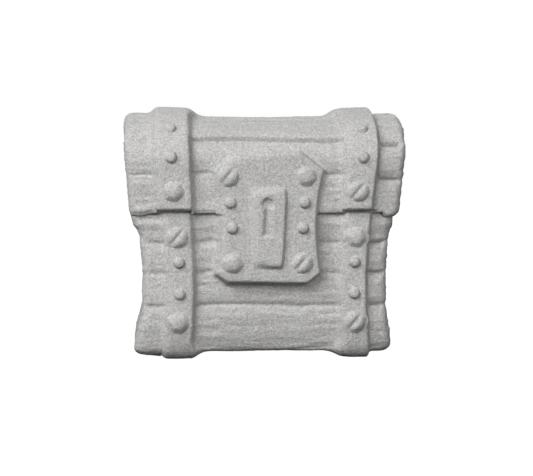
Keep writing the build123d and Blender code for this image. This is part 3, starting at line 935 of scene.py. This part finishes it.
def adhesive():
    """Set epoxy: dull grey with grit caught in it."""
    f = Finish("adhesive")
    cloud = f.speckle(1.2, 3.0)
    caught = f.grains(0.5)
    bump = f.node("ShaderNodeBump", {}, {"Height": caught, "Strength": 0.4, "Distance": 0.1 * MM})
    f.set(Base_Color=f.mix(cloud, tone(0.22), tone(0.34)), Roughness=0.5 + cloud * 0.2, Normal=bump)
    return f.material


def glow(name, strength, albedo):
    """Plain white surface that gives its own light, for the floor and the backdrop."""
    f = Finish(name)
    f.set(Base_Color=(albedo, albedo, albedo, 1), Roughness=1.0, Specular_IOR_Level=0.0,
          Emission_Color=(1, 1, 1, 1), Emission_Strength=strength)
    return f.material


# ---------------------------------------------------------------- the object

GRIT = sintered_grit()
FACES = (FRONT, BACK)
CORNERS = [(side, face) for side in (-1, 1) for face in FACES]

piece("tub_shell", [tub_surface()], GRIT, ["tub"])
piece("lid_shell", [lid_surface()], GRIT, ["lid"])
for name, side in (("left", -1), ("right", 1)):
    piece("tub_strap_" + name, [tub_band(side)], GRIT, ["tub_band_" + name])
    piece("lid_strap_" + name, [lid_band(side)], GRIT, ["lid_band_" + name])

lock_grid = plate_surface(
    lock_inside, lock_face, middle=31.0, margin=0.05, back=TUB_DEPTH - 1.2, columns=460, rows=110)
key_grid = plate_surface(
    key_inside, key_face, middle=29.0, margin=0.1, back=LOCK_FACE - 1.2, columns=420, rows=90)
piece("lock_face_plate", [lock_grid], GRIT, ["lock_plate"])
piece("keyhole_plate", [key_grid], GRIT, ["key_plate"])

# Name, node that it stands for, kind of head, and its seats
HEADS = (
    ("lid_rivet_heads", "lid_band_rivets", "rivet",
     [lid_seat(side, z, face) for side, face in CORNERS for z in LID_RIVETS]),
    ("lid_bolt_heads", "lid_band_bolts", "hex",
     [lid_seat(face, LID_HEAD, face) for face in FACES]),
    ("lid_screw_heads", "lid_band_screws", "slot",
     [lid_seat(-face, LID_HEAD, face, LID_SCREW_IN) for face in FACES]),
    ("tub_rivet_heads", "tub_band_rivets", "rivet",
     [tub_seat(side, z, face) for side, face in CORNERS for z in TUB_RIVETS]),
    ("tub_bolt_heads", "tub_band_bolts", "hex",
     [tub_seat(-face, TUB_HIGH_HEAD, face) for face in FACES]
     + [tub_seat(face, TUB_LOW_HEAD, face) for face in FACES]),
    ("tub_screw_heads", "tub_band_screws", "slot",
     [tub_seat(face, TUB_HIGH_HEAD, face) for face in FACES]
     + [tub_seat(-face, TUB_LOW_HEAD, face) for face in FACES]),
    ("lock_rivet_heads", "lock_rivets", "rivet",
     [lock_seat(side, place) for side in (-1, 1) for place in LOCK_RIVETS]),
    ("lock_bolt_heads", "lock_bolts", "hex",
     [lock_seat(1, LOCK_HIGH_HEAD), lock_seat(-1, LOCK_LOW_HEAD)]),
    ("lock_screw_heads", "lock_screws", "slot",
     [lock_seat(-1, LOCK_HIGH_HEAD), lock_seat(1, LOCK_LOW_HEAD)]),
)
for name, node, kind, seats in HEADS:
    piece(name, heads(kind, seats), GRIT, [node])

# Pieces that keep the mesh they have
KEPT = {"air_nipple": nipple_plastic(), "nipple_sleeve": adhesive(), "seam_bond": adhesive()}
for node, material in KEPT.items():
    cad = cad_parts[node]
    cad.data.materials.clear()
    cad.data.materials.append(material)


# ---------------------------------------------------------------- stage, light and camera

def stage_mesh(name, points, faces, material):
    """Part of the room round the chest: seen by the camera, but lighting nothing."""
    mesh = bpy.data.meshes.new(name)
    mesh.from_pydata(points, [], faces)
    mesh.materials.append(material)
    made = bpy.data.objects.new(name, mesh)
    bpy.context.scene.collection.objects.link(made)
    made.visible_diffuse = False
    made.visible_glossy = False
    made.visible_shadow = False


def disc(radius, height):
    """Rim points of a level disc."""
    turns = [2 * math.pi * i / SIDES for i in range(SIDES)]
    return [(radius * math.cos(turn), radius * math.sin(turn), height) for turn in turns]


ROOM = 2.0                  # metres, radius and height of the round room
SIDES = 64
stage_mesh("floor", disc(ROOM, 0.0), [list(range(SIDES))], glow("floor_white", 1.0, 0.1))
wall = [[i, (i + 1) % SIDES, SIDES + (i + 1) % SIDES, SIDES + i] for i in range(SIDES)]
ceiling = list(range(SIDES, 2 * SIDES))
stage_mesh("backdrop", disc(ROOM, -0.5) + disc(ROOM, ROOM), wall + [ceiling],
           glow("backdrop_white", 1.0, 0.0))

world = bpy.data.worlds.new("fill")
bpy.context.scene.world = world
world.use_nodes = True
background = world.node_tree.nodes["Background"]
background.inputs["Color"].default_value = (1, 1, 1, 1)
background.inputs["Strength"].default_value = 0.025


def softbox(name, direction, distance, size, watts):
    """Square area light that looks at the middle of the chest, its distance and size in metres."""
    light = bpy.data.lights.new(name, "AREA")
    light.size = size
    light.energy = watts
    made = bpy.data.objects.new(name, light)
    bpy.context.scene.collection.objects.link(made)
    middle = Vector((0, MIDDLE_Y * MM, (BAND_TOP + BAND_FOOT) / 2 * MM))
    made.location = middle + Vector(direction).normalized() * distance
    made.rotation_euler = (middle - made.location).to_track_quat("-Z", "Y").to_euler()
    made.visible_camera = False


# Direction from the chest, distance, size and watts
softbox("key", (-0.57, -0.64, 0.62), 0.9, 0.60, 10.8)
softbox("side_fill", (0.80, -0.58, 0.12), 1.1, 0.6, 1.0)
softbox("front_fill", (0.26, -0.93, 0.28), 1.1, 0.7, 4.2)
softbox("back", (0.25, 0.90, 0.45), 1.0, 0.6, 5.0)

YAW, TILT = -4.5, 3.2       # degrees to the chest's left, and above level
DISTANCE = 0.34             # metres
LENS = 98.0
yaw, tilt = math.radians(YAW), math.radians(TILT)
aim = Vector((1.3, MIDDLE_Y, 26.3)) * MM
away = Vector((math.sin(yaw) * math.cos(tilt), -math.cos(yaw) * math.cos(tilt), math.sin(tilt)))
camera = bpy.data.objects.new("camera", bpy.data.cameras.new("camera"))
bpy.context.scene.collection.objects.link(camera)
camera.data.lens = LENS
camera.data.clip_start = 0.02
camera.data.clip_end = 20
camera.location = aim + away * DISTANCE
camera.rotation_euler = (-away).to_track_quat("-Z", "Y").to_euler()
bpy.context.scene.camera = camera
bpy.context.scene.view_settings.view_transform = "Standard"
